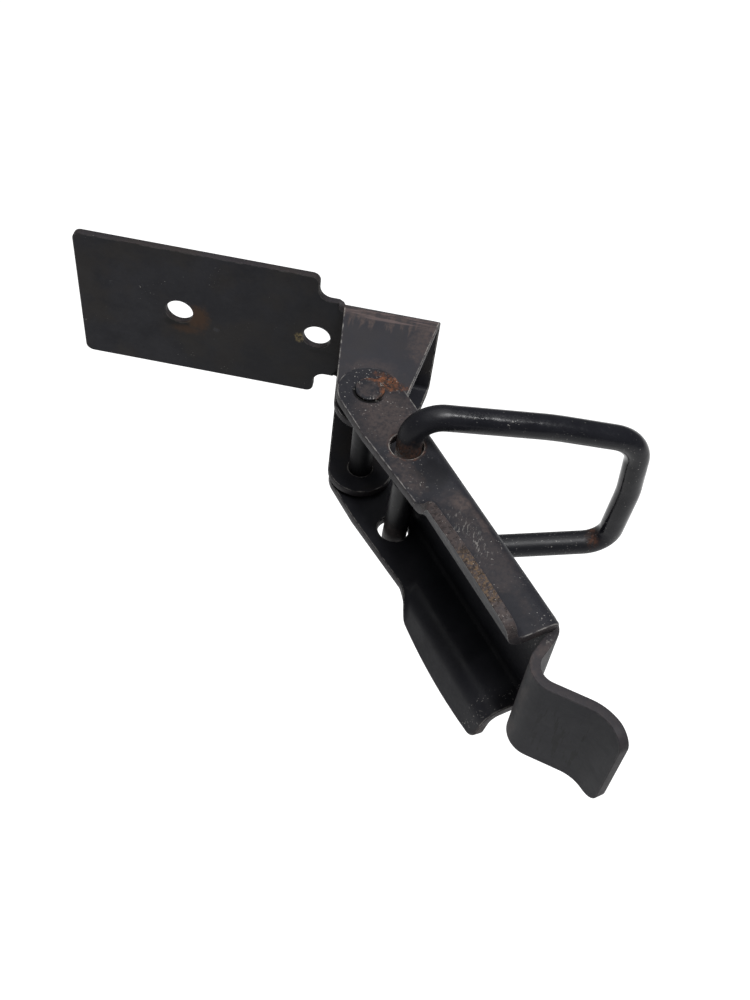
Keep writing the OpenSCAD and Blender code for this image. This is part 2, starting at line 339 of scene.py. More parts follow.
def make_base():
    """Blank of plate, neck and two ears: rounded corners, and leaning edges that run tangent into
    each ear's round end."""
    r = EAR_FOLD_R - BASE_T / 2
    tip_w = EARS_HALF - EAR_FOLD_R + r * RIGHT_ANGLE + (-PIVOT[1] - EAR_FOLD_R)
    tip = np.array([PIVOT[0], tip_w])
    fold_w = EARS_HALF - EAR_FOLD_R + EAR_ROOT
    left = np.array([EAR_LEFT, EARS_HALF]) - tip
    right = np.array([EAR_RIGHT, fold_w]) - tip

    def tangent(v, side):
        """Angle of the point where a line from tip + v touches the ear's round end."""
        return math.degrees(math.atan2(v[1], v[0]) + side * math.acos(EAR_TIP_R / np.linalg.norm(v)))

    a_right, a_left = tangent(right, 1), tangent(left, -1) + 360
    c, s, k = PLATE_CORNER_R, NECK_FILLET_R, EAR_CORNER_R
    upper = np.vstack([
        [[EAR_RIGHT, 0.0]], arc(EAR_RIGHT - k, fold_w - k, k, 0, 5, 0.1),
        arc(*tip, EAR_TIP_R, a_right, a_left),
        arc(EAR_LEFT - k, EARS_HALF + k, k, 0, -90, 0.15),
        arc(SHOULDER + s, EARS_HALF + s, s, 270, 180),
        arc(SHOULDER - c, PLATE_HALF - c, c, 0, 90),
        arc(PLATE_LEFT + c, PLATE_HALF - c, c, 90, 180),
    ])
    holes = [arc(sx * SCREW_X, 0, SCREW_R, 360, 0, 0.25)[:-1] for sx in (-1, 1)]
    holes += [arc(PIVOT[0], sz * tip_w, EAR_HOLE_R, 360, 0, 0.25)[:-1] for sz in (-1, 1)]
    flat_half = EARS_HALF - EAR_FOLD_R
    out_to = tip_w + EAR_TIP_R
    rows = np.r_[np.linspace(0, flat_half, 10), np.linspace(flat_half, flat_half + r * RIGHT_ANGLE, 12)[1:],
                 np.linspace(flat_half + r * RIGHT_ANGLE, out_to, 34)[1:]]
    rows = np.r_[-rows[:0:-1], rows]
    fade = EAR_LEFT - FOLD_FADE - 0.1
    columns = np.r_[np.arange(PLATE_LEFT, fade, 0.85), np.linspace(fade, EAR_LEFT, 6),
                    np.arange(EAR_LEFT + 0.7, EAR_RIGHT, 0.8)]
    return stamping("base_stamping", [densify(mirrored(upper))] + holes, fold_base, BASE_T, columns, rows)


# ---------------------------------------------------------------- lever

def lever_place(x, y, z):
    """Place in the shared frame of points in the lever's own: x along it from the pivot, y towards
    its web."""
    d = (EYE - PIVOT)[:2]
    c, s = d / np.linalg.norm(d)
    return np.column_stack([PIVOT[0] + x * c - y * s, PIVOT[1] + x * s + y * c, z])


def tab_line():
    """Centre line of the tab: its heading turns evenly through each bend, and its length is added up."""
    points = [(TAB_START, TAB_CORNERS[0][1])] + [c[:2] for c in TAB_CORNERS] + [(TAB_END, TAB_CORNERS[-1][1])]
    p = np.array(points)
    d = np.diff(p, axis=0)
    heading = np.arctan2(d[:, 1], d[:, 0])
    length = np.linalg.norm(d, axis=1)
    knots, turns = [0.0], [heading[0]]
    for i, (_, _, r) in enumerate(TAB_CORNERS):
        bend = heading[i + 1] - heading[i]
        back = r * math.tan(abs(bend) / 2)
        before = TAB_CORNERS[i - 1][2] * math.tan(abs(heading[i] - heading[i - 1]) / 2) if i else 0
        knots += [knots[-1] + length[i] - before - back]
        knots += [knots[-1] + r * abs(bend)]
        turns += [heading[i], heading[i + 1]]
    knots.append(knots[-1] + length[-1] - back)
    turns.append(heading[-1])
    ds = 0.01
    s = np.arange(0, knots[-1] + 2, ds)
    h = np.interp(s, knots, turns)
    x = TAB_START + np.r_[0, np.cumsum(np.cos(h[:-1] + np.diff(h) / 2)) * ds]
    y = p[0, 1] + np.r_[0, np.cumsum(np.sin(h[:-1] + np.diff(h) / 2)) * ds]
    return s, x, y, knots[-1]


TAB_S, TAB_X, TAB_Y, TAB_LENGTH = tab_line()


def lip_opening(u):
    """Angle of the lip's fold: 0 short of the lip's start, growing smoothly to the full angle."""
    return LIP_ANGLE * smooth(u, LIP_START - LIP_LEAD, LIP_START + LIP_GROWTH)


def fold_lever(u, w):
    """Across: web, quarter circle, flange and the lip's arc and straight, whose angle grows from 0
    at the lip's start. Short of the web the flanges stay flat; past them the channel opens out flat
    and follows the tab's line."""
    mid = WEB_OFFSET - LEVER_T / 2
    r = LEVER_FOLD_R - LEVER_T / 2
    flat_half = LEVER_HALF - LEVER_FOLD_R
    a = np.abs(w)
    t = np.clip((a - flat_half) / r, 0, RIGHT_ANGLE)
    v = a - flat_half - r * RIGHT_ANGLE
    z = np.minimum(a, flat_half) + r * np.sin(t)
    y = mid - r * (1 - np.cos(t)) - np.maximum(v, 0)
    # lips
    rl = LIP_FOLD_R + LEVER_T / 2
    v_lip = v - (mid - r + LIP_Y)
    most = lip_opening(u)
    phi = np.minimum(np.clip(v_lip / rl, 0, None), most)
    rest = np.maximum(v_lip - rl * most, 0)
    lip = v_lip > 0
    y = np.where(lip, -LIP_Y - rl * np.sin(phi) - rest * np.cos(most), y)
    z = np.where(lip, LEVER_HALF - LEVER_T / 2 + rl * (1 - np.cos(phi)) + rest * np.sin(most), z)
    # the flanges' flat ends
    g = smooth(u, WEB_START - FOLD_FADE, WEB_START)
    y_flat, z_flat = mid - r - v, LEVER_HALF - LEVER_T / 2
    y = y_flat + (y - y_flat) * g
    z = z_flat + (z - z_flat) * g
    # the tab
    h = smooth(u, TAB_START + 1.8, FLANGE_LEN)
    tab = (u > TAB_START) & (a < TAB_HALF + 0.3)
    s = u - TAB_START
    x_line, y_line = np.interp(s, TAB_S, TAB_X), np.interp(s, TAB_S, TAB_Y)
    x = np.where(tab, x_line, u)
    z = np.where(tab, z + (a - z) * h, z)
    y = np.where(tab, y_line + (y - mid) * (1 - h), y)
    return lever_place(x, y, np.sign(w) * z)


def make_lever():
    """Blank of web, flanges, lips and tab: round flange ends, lips whose free edge is an arch of
    large radius, and a tab set off by slits."""
    r = LEVER_FOLD_R - LEVER_T / 2
    flat_half = LEVER_HALF - LEVER_FOLD_R
    w_flange = flat_half + r * RIGHT_ANGLE
    w_pivot = w_flange + WEB_OFFSET - LEVER_T / 2 - r
    w_lip = w_pivot + LIP_Y
    rl = LIP_FOLD_R + LEVER_T / 2
    w_lip_flat = w_lip + rl * LIP_ANGLE
    z_lip_flat = LEVER_HALF + LIP_FOLD_R - rl * math.cos(LIP_ANGLE)

    def lip_edge(u):
        """Height of the blank's edge where the folded lip's edge is an arch of large radius."""
        rise = LIP_RISE - LIP_ARCH_R + np.sqrt(LIP_ARCH_R ** 2 - (u - LIP_WIDEST) ** 2)
        return w_lip_flat + (LEVER_HALF + rise - z_lip_flat) / math.sin(LIP_ANGLE)

    u_arch = np.linspace(FLANGE_LEN - LIP_END_R - 0.2, LIP_START + LIP_GROWTH, 36)
    u_grow = np.linspace(LIP_START + LIP_GROWTH, LIP_START - LIP_LEAD, 24)
    opening = lip_opening(u_grow)
    depth = EDGE_AT_LIP + LIP_DEEPER * opening / LIP_ANGLE
    beyond = (depth - LIP_Y - rl * np.sin(opening)) / np.cos(opening)
    # the edge runs from the plain edge's height into the lip's arch, as a soft minimum of the two
    w_grow = -np.logaddexp(-2 * (w_lip + rl * opening + beyond), -2 * lip_edge(u_grow)) / 2
    slit = TAB_HALF + TAB_SLIT
    root = TAB_START + TAB_ROOT
    c, k = TAB_CORNER_R, LIP_END_R
    end = TAB_START + TAB_LENGTH
    upper = np.vstack([
        arc(end - c, TAB_HALF - c, c, 0, 90),
        [[FLANGE_LEN, TAB_HALF], [root, TAB_HALF], [root, slit]],
        [[FLANGE_LEN - 0.5, slit], [FLANGE_LEN, slit + 0.5]],
        arc(FLANGE_LEN - k, lip_edge(FLANGE_LEN - k) - k, k, 0, 90),
        np.column_stack([u_arch, lip_edge(u_arch)]),
        np.column_stack([u_grow, w_grow])[1:],
        [[WEB_START, w_pivot + FLANGE_R - 0.02]],
        arc(0, w_pivot, FLANGE_R, 90, 270),
        arc(WEB_START - 0.8, w_pivot - FLANGE_R - 0.8, 0.8, 90, 0, 0.2),
    ])
    # the web's own edge closes the outline on the left, so the mirror image joins it there
    outline = densify(mirrored(upper))
    holes = [arc(0, s * w_pivot, PIVOT_HOLE_R, 360, 0, 0.25)[:-1] for s in (-1, 1)]
    eye_u = float(np.linalg.norm(EYE - PIVOT))
    holes += [arc(eye_u, s * w_pivot, EYE_R, 360, 0, 0.25)[:-1] for s in (-1, 1)]
    rows = np.r_[np.linspace(0, flat_half, 13), np.linspace(flat_half, w_flange, 12)[1:],
                 np.linspace(w_flange, w_lip, 6)[1:], np.linspace(w_lip, w_lip_flat, 13)[1:],
                 np.linspace(w_lip_flat, w_lip_flat + 6, 9)[1:]]
    rows = np.r_[-rows[:0:-1], rows]
    fade = WEB_START - FOLD_FADE - 0.1
    columns = np.r_[np.arange(-7, fade, 0.8), np.linspace(fade, WEB_START, 5),
                    np.arange(WEB_START + 0.7, TAB_START + 1, 0.8), np.arange(TAB_START + 1.4, end, 0.42)]
    return stamping("lever_stamping", [outline] + holes, fold_lever, LEVER_T, columns, rows)


# ---------------------------------------------------------------- rivet and bail

def make_rivet():
    """Profile turned about the pivot: flat head with a soft rim, shank, and the same again below."""
    head_r, head_t, seat, soft = 2.9, 0.62, LEVER_HALF + 0.05, 0.25
    a = np.radians(np.linspace(90, 0, 6))
    top = seat + head_t
    profile = np.vstack([
        [[0.4, top - 0.02], [1.5, top], [head_r - soft - 0.3, top]],
        np.column_stack([head_r - soft + soft * np.cos(a), top - soft + soft * np.sin(a)]),
        [[head_r, seat + 0.12], [head_r - 0.1, seat], [SHANK_R + 0.1, seat], [SHANK_R, seat - 0.1]],
        np.column_stack([np.full(9, SHANK_R), np.linspace(seat - 1, 1, 9)]),
    ])
    profile = np.vstack([profile, profile[::-1] * [1, -1]])
    turn = np.linspace(0, 2 * math.pi, 72, endpoint=False)
    # the peened rim is a little out of round
    rim = 1 + 0.012 * np.sin(3 * turn + 0.6) + 0.008 * np.sin(7 * turn)
    heads = (np.abs(profile[:, 1]) > seat - 0.05)[:, None]
    radius = profile[:, :1] * np.where(heads, rim, 1)
    rings = np.stack([PIVOT[0] + radius * np.cos(turn), PIVOT[1] + radius * np.sin(turn),
                      np.repeat(profile[:, 1:], len(turn), axis=1)], -1)
    return capped_grid("rivet_turning", rings)


def make_bail():
    """Round section carried along the wire's line, in the plane of reach and height, with each end
    rounded off."""
    line = path_from_corners(BAIL_CORNERS, 0.35)
    d = np.gradient(line, axis=0)
    d /= np.linalg.norm(d, axis=1)[:, None]
    side = np.column_stack([-d[:, 1], d[:, 0]])
    s = np.r_[0, np.cumsum(np.linalg.norm(np.diff(line, axis=0), axis=1))]
    soft = 0.5
    near = np.clip(np.minimum(s, s[-1] - s) / soft, 0, 1)
    radius = WIRE_R - soft * (1 - np.sqrt(1 - (1 - near) ** 2))
    turn = np.linspace(0, 2 * math.pi, 40, endpoint=False)
    in_plane = line[:, None, :] + side[:, None, :] * (radius[:, None] * np.cos(turn))[:, :, None]
    off = radius[:, None] * np.sin(turn)
    to_catch = (CATCH_BAR - EYE)[:2] / BAIL_REACH
    x = EYE[0] + in_plane[:, :, 0] * to_catch[0] - off * to_catch[1]
    y = EYE[1] + in_plane[:, :, 0] * to_catch[1] + off * to_catch[0]
    return capped_grid("bail_wire", np.stack([x, y, in_plane[:, :, 1]], -1))


# ---------------------------------------------------------------- finishes

COAT = (0.0095, 0.0097, 0.0122)
COAT_PALE = (0.0160, 0.0161, 0.0192)
# paler grey painted where a face catches the light
PAINTED_LIGHT_GREY = (0.0290, 0.0285, 0.0330)
COAT_BROWNISH = (0.0170, 0.0150, 0.0138)
WIRE_COAT = (0.0050, 0.0052, 0.0070)
WIRE_COAT_PALE = (0.0085, 0.0087, 0.0110)
BLACK = (0.003, 0.003, 0.0032)
RUBBED = (0.046, 0.036, 0.034)         # coat rubbed thin, with the steel's oxide showing brown
RUBBED_PALE = (0.085, 0.064, 0.062)
OCHRE = (0.095, 0.063, 0.036)
STAIN = (0.042, 0.025, 0.016)
RUST_DARK = (0.034, 0.019, 0.013)
RUST = (0.105, 0.040, 0.019)
RESIDUE = (0.12, 0.095, 0.05)          # dried paste by a screw hole
BARE = (0.30, 0.29, 0.27)
FLOOR_GLOW = 0.56                      # keeps the floor pale and shadows on it faint
FLOOR_DROP = 0.22                      # of the floor below the latch, in metres
SKY = 0.17                             # light from all round


class Finish:
    """A material built up in layers: a coat, then paints over it, each with a mask from 0 to 1.

    Patterns read Object coordinates in millimetres, so they stay on the metal when it moves.
    """

    def __init__(self, name):
        self.material = bpy.data.materials.new(name)
        self.material.use_nodes = True
        self.tree = self.material.node_tree
        self.tree.nodes.clear()
        self.shader = self.new("ShaderNodeBsdfPrincipled")
        out = self.new("ShaderNodeOutputMaterial")
        self.tree.links.new(self.shader.outputs[0], out.inputs[0])
        at = self.new("ShaderNodeTexCoord")
        scale = self.new("ShaderNodeVectorMath")
        scale.operation = "SCALE"
        self.tree.links.new(at.outputs["Object"], scale.inputs[0])
        scale.inputs["Scale"].default_value = 1 / MM
        self.place = scale.outputs[0]
        parts = self.new("ShaderNodeSeparateXYZ")
        self.tree.links.new(self.place, parts.inputs[0])
        self.x, self.y, self.z = parts.outputs
        self.metal, self.lift = 0.0, 0.0

    def new(self, kind):
        return self.tree.nodes.new(kind)

    def put(self, socket, value):
        if isinstance(value, bpy.types.NodeSocket):
            self.tree.links.new(value, socket)
        else:
            socket.default_value = value

    def math(self, op, a, b=0.0):
        n = self.new("ShaderNodeMath")
        n.operation = op
        self.put(n.inputs[0], a)
        self.put(n.inputs[1], b)
        return n.outputs[0]

    def mul(self, first, *others):
        for value in others:
            first = self.math("MULTIPLY", first, value)
        return first

    def add(self, first, *others):
        for value in others:
            first = self.math("ADD", first, value)
        return first

    def most(self, first, *others):
        for value in others:
            first = self.math("MAXIMUM", first, value)
        return first

    def linear(self, kx, ky, offset):
        """kx X + ky Y + offset, in millimetres."""
        return self.add(self.mul(self.x, kx), self.mul(self.y, ky), offset)

    def radius(self, a, b):
        """Square root of a^2 + b^2."""
        return self.math("SQRT", self.add(self.mul(a, a), self.mul(b, b)))

    def step(self, value, lo, hi):
        """0 at lo to 1 at hi, smoothly; lo may be the larger."""
        n = self.new("ShaderNodeMapRange")
        n.interpolation_type = "SMOOTHSTEP"
        self.put(n.inputs[0], value)
        n.inputs[1].default_value, n.inputs[2].default_value = min(lo, hi), max(lo, hi)
        n.inputs[3].default_value, n.inputs[4].default_value = (1, 0) if lo > hi else (0, 1)
        return n.outputs[0]

    def band(self, value, lo, hi, soft):
        """1 between lo and hi, fading over soft on either side."""
        return self.mul(self.step(value, lo - soft, lo), self.step(value, hi + soft, hi))

    def noise(self, per_mm, detail=3, rough=0.55, stretch=(1, 1, 1), turn=0.0):
        """Noise from 0 to 1 with about per_mm blotches to the millimetre, drawn out by dividing
        its frequency on each axis, after a turn about Z in degrees."""
        m = self.new("ShaderNodeMapping")
        m.inputs["Rotation"].default_value[2] = math.radians(turn)
        m.inputs["Scale"].default_value = [per_mm / k for k in stretch]
        self.put(m.inputs["Vector"], self.place)
        n = self.new("ShaderNodeTexNoise")
        self.put(n.inputs["Vector"], m.outputs[0])
        n.inputs["Scale"].default_value = 1.0
        n.inputs["Detail"].default_value = detail
        n.inputs["Roughness"].default_value = rough
        return n.outputs["Fac"]

    def patch(self, a, b, a0, b0, ra, rb, ragged=0.5, per_mm=0.6, soft=0.65):
        """1 inside an ellipse in the two coordinates a and b, its border broken by noise."""
        r = self.radius(self.mul(self.add(a, -a0), 1 / ra), self.mul(self.add(b, -b0), 1 / rb))
        r = self.add(r, self.mul(self.add(self.noise(per_mm, 4, 0.65), -0.5), 3 * ragged))
        return self.step(r, 1.0, 1.0 - soft)

    def attribute(self, name):
        n = self.new("ShaderNodeAttribute")
        n.attribute_name = name
        return n.outputs["Fac"]

    def blend(self, amount, a, b):
        n = self.new("ShaderNodeMix")
        n.data_type = "RGBA"
        self.put(n.inputs[0], amount)
        for socket, value in ((n.inputs[6], a), (n.inputs[7], b)):
            self.put(socket, (*value, 1) if isinstance(value, tuple) else value)
        return n.outputs[2]

    def lerp(self, amount, a, b):
        n = self.new("ShaderNodeMix")
        for socket, value in zip((n.inputs[0], n.inputs[2], n.inputs[3]), (amount, a, b)):
            self.put(socket, value)
        return n.outputs[0]

    def coat(self, dark, pale, rough, rough_spread):
        """The coat: two tones in soft clouds, with its gloss varying in clouds of its own."""
        clouds = self.step(self.noise(0.10, 5, 0.6), 0.36, 0.66)
        grain = self.step(self.noise(1.1, 4, 0.7), 0.30, 0.70)
        self.colour = self.blend(self.add(self.mul(clouds, 0.75), self.mul(grain, 0.25)), dark, pale)
        wiped = self.add(self.mul(self.noise(0.25, 5, 0.6, (1, 3, 1), 25), 0.6),
                         self.mul(self.noise(1.5, 3), 0.4))
        self.rough = self.lerp(self.step(wiped, 0.36, 0.64), rough - rough_spread, rough + rough_spread)

    def paint(self, mask, colour, rough=None, metal=None, lift=0.0):
        """Lays a colour over the layers so far, with its own gloss, metal and height where given."""
        self.colour = self.blend(mask, self.colour, colour)
        if rough is not None:
            self.rough = self.lerp(mask, self.rough, rough)
        if metal is not None:
            self.metal = self.lerp(mask, self.metal, metal)
        if lift:
            self.lift = self.add(self.lift, self.mul(mask, lift))

    def rub(self, where, amount=1.0):
        """Brown rubbing: strongest in grains, with a little coat left between them."""
        grains = self.lerp(self.step(self.noise(1.4, 5, 0.7), 0.30, 0.62), 0.25, 1.0)
        self.paint(self.mul(where, grains, amount), RUBBED, 0.55)

    def rust(self, where, amount=1.0):
        """Rust in two tones with pits, raised a little above the coat."""
        crust = self.step(self.noise(1.0, 5, 0.75), 0.36, 0.54)
        tone = self.blend(self.step(self.noise(0.8, 4, 0.7), 0.42, 0.60), RUST_DARK, RUST)
        self.paint(self.mul(where, crust, amount), tone, 0.9, lift=0.05)
        pits = self.step(self.noise(1.8, 3, 0.6), 0.62, 0.68)
        self.paint(self.mul(where, pits), BLACK, 0.9, lift=-0.06)

    def specks(self, where, amount=0.8, share=0.66):
        """Small bright chips and dust, the fewer the larger the share."""
        grains = self.step(self.noise(2.4, 2, 0.5), share, share + 0.05)
        self.paint(self.mul(where, grains, amount), BARE, 0.35, 0.4)

    def wall(self):
        """1 on the sheet's cut edge itself."""
        return self.step(self.attribute("rim"), 0.16, 0.05)

    def sheared_edge(self, brown, worn):
        """The sheet's cut edge: brownish, with broken bright lines along its two arrises: partly bare steel
        where the coat wears off, partly painted highlight.
        """
        rim = self.attribute("rim")
        grain = self.step(self.noise(1.6, 4, 0.7), 0.35, 0.65)
        self.paint(self.mul(self.wall(), self.lerp(grain, 0.4, 1.0), brown), RUBBED, 0.62)
        ragged = self.add(rim, self.mul(self.add(self.noise(1.2, 4, 0.7), -0.5), 0.35))
        arris = self.mul(self.step(ragged, 0.34, 0.22), self.step(rim, 0.04, 0.12))
        # bright arris lines: partly wear, partly painted highlight
        self.paint(self.mul(arris, self.step(self.noise(0.5, 4, 0.65), 0.38, 0.58), worn), BARE, 0.4, 0.3)

    def bump(self, height, depth_mm, under=None):
        n = self.new("ShaderNodeBump")
        n.inputs["Strength"].default_value = 1.0
        n.inputs["Distance"].default_value = depth_mm * MM
        self.put(n.inputs["Height"], height)
        if under is not None:
            self.put(n.inputs["Normal"], under)
        return n.outputs[0]

    def done(self, specular, peel=0.010, uneven=0.10):
        """Joins the layers to the shader, over an orange-peel and a slow unevenness in millimetres."""
        normal = self.bump(self.noise(0.16, 2, 0.5), uneven)
        normal = self.bump(self.noise(2.2, 3, 0.5), peel, normal)
        if isinstance(self.lift, bpy.types.NodeSocket):
            normal = self.bump(self.lift, 1.0, normal)
        for name, value in (("Base Color", self.colour), ("Roughness", self.rough), ("Metallic", self.metal),
                            ("Normal", normal)):
            self.put(self.shader.inputs[name], value)
        self.shader.inputs["Specular IOR Level"].default_value = specular
        return self.material


def finish_base():
    """Satin black with a worn band under the ear's fold, rust by the rivet and by a screw hole."""
    f = Finish("base_black_coat")
    f.coat(COAT, COAT_PALE, 0.47, 0.09)
    f.paint(f.mul(f.step(f.noise(0.07, 4, 0.6), 0.45, 0.62), 0.7), COAT_BROWNISH)
    front = f.band(f.y, -1.9, -1.35, 0.35)
    # ear: worn band under the fold, drawn down in streaks, and rubbed towards its far edge
    top = f.mul(f.step(f.z, 10.2, 10.7), f.step(f.x, EAR_LEFT - 0.6, EAR_LEFT))
    # painted light: the upper ear's side that faces up is laid half over with a paler grey
    f.paint(f.mul(top, 0.5), PAINTED_LIGHT_GREY)
    streaks = f.step(f.noise(0.9, 4, 0.6, (1, 7, 1)), 0.42, 0.62)
    below = f.add(f.y, f.mul(f.add(streaks, -0.5), 3.2))
    worn = f.mul(top, f.step(below, -7.0, -4.2), f.step(f.y, -1.2, -2.0))
    f.rub(f.mul(worn, f.lerp(streaks, 0.45, 1.0)), 0.95)
    lines = f.step(f.noise(1.1, 4, 0.65, (9, 0.8, 1)), 0.46, 0.60)
    fold = f.mul(f.step(f.z, 9.4, 10.4), f.step(f.x, EAR_LEFT - 0.8, EAR_LEFT))
    f.paint(f.mul(fold, f.band(f.y, -4.0, -1.9, 0.9), lines, 0.65), RUBBED_PALE, 0.55)
    f.rub(f.mul(top, f.patch(f.x, f.y, 38.5, -8.5, 3.6, 8)), 0.7)
    f.rub(f.mul(top, f.patch(f.x, f.y, 30, -19, 7, 4)), 0.45)
    f.rust(f.mul(top, f.patch(f.x, f.y, 34.0, -22.4, 4.6, 2.6, 0.6)), 0.9)
    # plate: stain right and below the first screw hole, dried paste by the second, a paler spot painted as a
    # small dent's sheen
    # painted shade: the plate's front darkens towards the lower right, short of the ears
    lower = f.step(f.add(f.x, f.mul(f.z, -1.1)), -18, 26)
    f.paint(f.mul(front, lower, f.step(f.x, 24, 20), 0.55), BLACK, 0.42)
    cloud = f.patch(f.x, f.z, -SCREW_X + 1.5, -4.0, 8.5, 6.0, 0.5, 0.25)
    f.paint(f.mul(front, cloud, 0.6), COAT_BROWNISH, 0.6)
    f.paint(f.mul(front, f.patch(f.x, f.z, -SCREW_X - 0.5, -3.4, 4.4, 1.8, 0.3), 0.7), BLACK, 0.5)
    stain = f.most(f.patch(f.x, f.z, -SCREW_X + 4.0, -0.8, 3.6, 4.6, 0.35, 0.7, 0.65),
                   f.mul(f.patch(f.x, f.z, -SCREW_X + 1.8, -4.8, 5.0, 1.8, 0.4, 0.7, 0.8), 0.7))
    stain = f.mul(front, stain)
    f.paint(f.mul(stain, 0.9), STAIN, 0.75)
    f.paint(f.mul(stain, f.step(f.noise(0.7, 4, 0.7), 0.50, 0.62), 0.45), RUST_DARK, 0.8)
    crumbs = f.step(f.noise(1.5, 4, 0.7), 0.40, 0.56)
    paste = f.mul(crumbs, f.patch(f.x, f.z, SCREW_X - 3.8, -0.9, 1.4, 1.8, 0.5, 1.2))
    f.paint(f.mul(front, paste), RESIDUE, 0.8, lift=0.08)
    f.paint(f.mul(front, f.patch(f.x, f.z, SCREW_X + 1.0, -4.2, 4.0, 0.8, 0.3), 0.6), BLACK, 0.35)
    # painted highlight: a small paler grey spot standing in for a dent catching the light
    f.paint(f.mul(front, f.patch(f.x, f.z, -SCREW_X + 8.2, -3.4, 1.0, 0.9, 0.6, 1.4), 0.6), PAINTED_LIGHT_GREY, 0.4)
    f.specks(f.mul(front, f.step(f.noise(0.12, 3), 0.55, 0.66)), 0.5, 0.70)
    f.specks(f.mul(top, f.patch(f.x, f.y, 30, -21, 8, 3.5)), 0.5, 0.64)
    # cut edges: bright arris lines, partly wear and partly painted highlight, more on the ears than on the
    # plate
    f.sheared_edge(0.25, f.lerp(f.step(f.x, EAR_LEFT - 1.5, EAR_LEFT), 0.09, 0.40))
    return f.done(0.085)


def finish_lever():
    """Satin black; flanges rubbed brown between rivet and eye, scratched and worn by the lips."""
    f = Finish("lever_black_coat")
    f.coat(COAT, COAT_PALE, 0.45, 0.08)
    d = (EYE - PIVOT)[:2]
    c, s = d / np.linalg.norm(d)
    u = f.linear(c, s, -(PIVOT[0] * c + PIVOT[1] * s))
    v = f.linear(-s, c, PIVOT[0] * s - PIVOT[1] * c)
    top = f.mul(f.step(f.z, LEVER_HALF - 1.0, LEVER_HALF - 0.5),
                f.step(f.z, LEVER_HALF + 0.6, LEVER_HALF + 0.2))
    f.rub(f.mul(top, f.patch(u, v, 8, 0, 10, 8, 0.35, 0.3)), 0.7)
    f.rub(f.mul(top, f.patch(u, v, 21, -3, 8, 2.6, 0.5)), 0.6)
    f.rub(f.mul(top, f.patch(u, v, 31.3, 2.7, 2.8, 2.2, 0.3)), 0.9)
    f.rub(f.mul(top, f.patch(u, v, 36.5, 3.9, 6.0, 0.9, 0.4)), 0.6)
    f.paint(f.mul(top, f.patch(u, v, 23, 1.2, 5.5, 4.8, 0.4, 0.3), 0.42), BLACK, 0.4)
    f.rub(f.mul(top, f.patch(u, v, 42, 1.5, 16, 4, 0.8, 0.25)), 0.35)
    # rust round the rivet and in the eye
    f.rust(f.mul(top, f.patch(f.x, f.y, 33.4, -24.2, 4.2, 2.9, 0.6)), 1.0)
    ring = f.radius(f.add(u, -float(np.linalg.norm(d))), v)
    f.rust(f.mul(top, f.band(ring, 3.1, 3.5, 0.5), f.step(f.noise(0.35, 3), 0.4, 0.6)), 0.5)
    # painted shade: a dark crescent round the rivet's head on its lower side, for the shadow in the gap under
    # it
    du, dv = f.add(f.x, -PIVOT[0]), f.add(f.y, -PIVOT[1])
    around = f.radius(du, dv)
    side = f.step(f.add(f.mul(du, -0.25), f.mul(dv, -1.0)), 0.2, 1.4)
    f.paint(f.mul(f.band(around, 2.8, 3.25, 0.25), side), BLACK, 0.9)
    f.specks(f.mul(top, f.band(around, 3.6, 6.0, 0.6)), 0.45, 0.66)
    # short scratches across the flange, beside the lip
    strokes = f.most(f.step(f.noise(2.0, 3, 0.6, (0.7, 4, 1), -38), 0.58, 0.66),
                     f.step(f.noise(2.3, 3, 0.6, (0.7, 3.4, 1), -12), 0.61, 0.68))
    f.paint(f.mul(top, f.patch(u, v, 38, 0.4, 9, 2.4, 0.5), strokes, 0.28), BARE, 0.35, 0.4, lift=-0.02)
    f.specks(f.mul(top, f.step(f.noise(0.15, 3), 0.46, 0.62)), 0.55, 0.66)
    # lips: their cut edge is bare and brown in the middle
    lip = f.mul(f.wall(), f.step(f.math("ABSOLUTE", f.z), LEVER_HALF + 0.8, LEVER_HALF + 2.0))
    f.rub(lip, 0.75)
    crumbs = f.step(f.noise(2.1, 4, 0.7), 0.46, 0.58)
    f.paint(f.mul(lip, f.band(u, 45.5, 54, 3), crumbs, 0.9), OCHRE, 0.8, lift=0.03)
    f.paint(f.mul(lip, f.step(f.noise(0.9, 4, 0.7), 0.52, 0.60), 0.7), BLACK, 0.7, lift=-0.04)
    f.specks(lip, 0.45, 0.66)
    neck = f.mul(f.band(u, 57, 63, 1.5), f.step(f.z, LEVER_HALF - 0.8, LEVER_HALF - 1.6))
    f.specks(f.mul(neck, f.step(f.noise(0.5, 3), 0.42, 0.6)), 0.45, 0.62)
    # tab: matt, with faint dark scuffs across its middle
    tab = f.step(u, 60, 63)
    f.paint(f.mul(tab, 0.6), COAT_PALE, 0.62)
    scuffs = f.step(f.noise(0.9, 3, 0.55, (0.8, 0.8, 5)), 0.55, 0.64)
    f.paint(f.mul(f.band(u, 71, 77, 2), f.band(f.z, -7, 5, 3), scuffs, 0.7), BLACK, 0.5)
    f.rub(f.mul(f.band(u, 61, 66, 1.5), f.step(f.noise(0.3, 4), 0.42, 0.6)), 0.55)
    # cut edges: bright arris lines, partly wear and partly painted highlight, fewer where the edges lie in
    # shade: by the pivot on the open side, and on the tab
    shaded_edges = f.most(f.mul(f.step(v, -3.5, -1.5), f.step(u, 5, 2)), f.step(u, 60, 62))
    f.sheared_edge(0.28, f.lerp(shaded_edges, 0.34, 0.06))
    return f.done(0.105)


